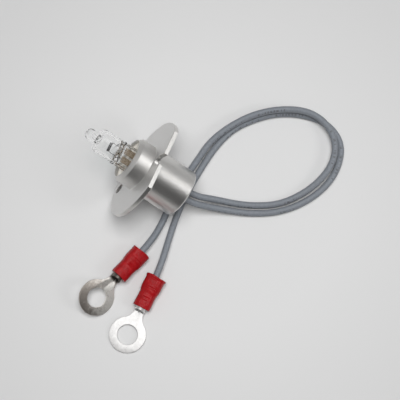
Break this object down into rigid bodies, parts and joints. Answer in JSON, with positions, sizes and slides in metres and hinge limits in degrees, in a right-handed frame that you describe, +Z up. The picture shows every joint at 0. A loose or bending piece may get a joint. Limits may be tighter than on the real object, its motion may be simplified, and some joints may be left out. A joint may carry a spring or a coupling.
{
  "type": "analyzer halogen lamp",
  "caption": "Small halogen capsule cemented in a turned flanged holder, with insulated leads that end in ring terminals.",
  "frame": {"origin": "on the table, under the middle of the lamp's own box (leads and terminals left out)", "axes": "+Z up from the table; the lamp's axis lies in the XZ plane, with the bulb up towards -X and the leads towards +X"},
  "size_m": [0.073, 0.0973, 0.0298],
  "materials": {
    "turned_aluminium": "satin, turned",
    "quartz": "clear",
    "tungsten": "drawn wire",
    "molybdenum_foil": "tarnished foil",
    "lead_in_wire": "drawn wire",
    "cement": "matte",
    "splice_metal": "plated",
    "splice_sleeving": "matte",
    "conductor": "tinned strands",
    "lead_jacket": "satin",
    "tinned_terminal": "bright tinned",
    "tinned_terminal_left": "tinned, dulled",
    "red_vinyl": "satin"
  },
  "bodies": {
    "root": {"holder": "turned_aluminium", "bulb_envelope": "quartz", "filament": "tungsten", "front_cement": "cement", "rear_cement": "cement", "foil_left": "molybdenum_foil", "pin_left": "lead_in_wire", "splice_left": "splice_metal", "splice_sleeve_left": "splice_sleeving", "core_left": "conductor", "strand_left": "conductor", "lead_left": "lead_jacket", "terminal_left": "tinned_terminal_left", "sleeve_left": "red_vinyl", "foil_right": "molybdenum_foil", "pin_right": "lead_in_wire", "splice_right": "splice_metal", "splice_sleeve_right": "splice_sleeving", "core_right": "conductor", "strand_right": "conductor", "lead_right": "lead_jacket", "terminal_right": "tinned_terminal", "sleeve_right": "red_vinyl"}
  },
  "joints": []
}
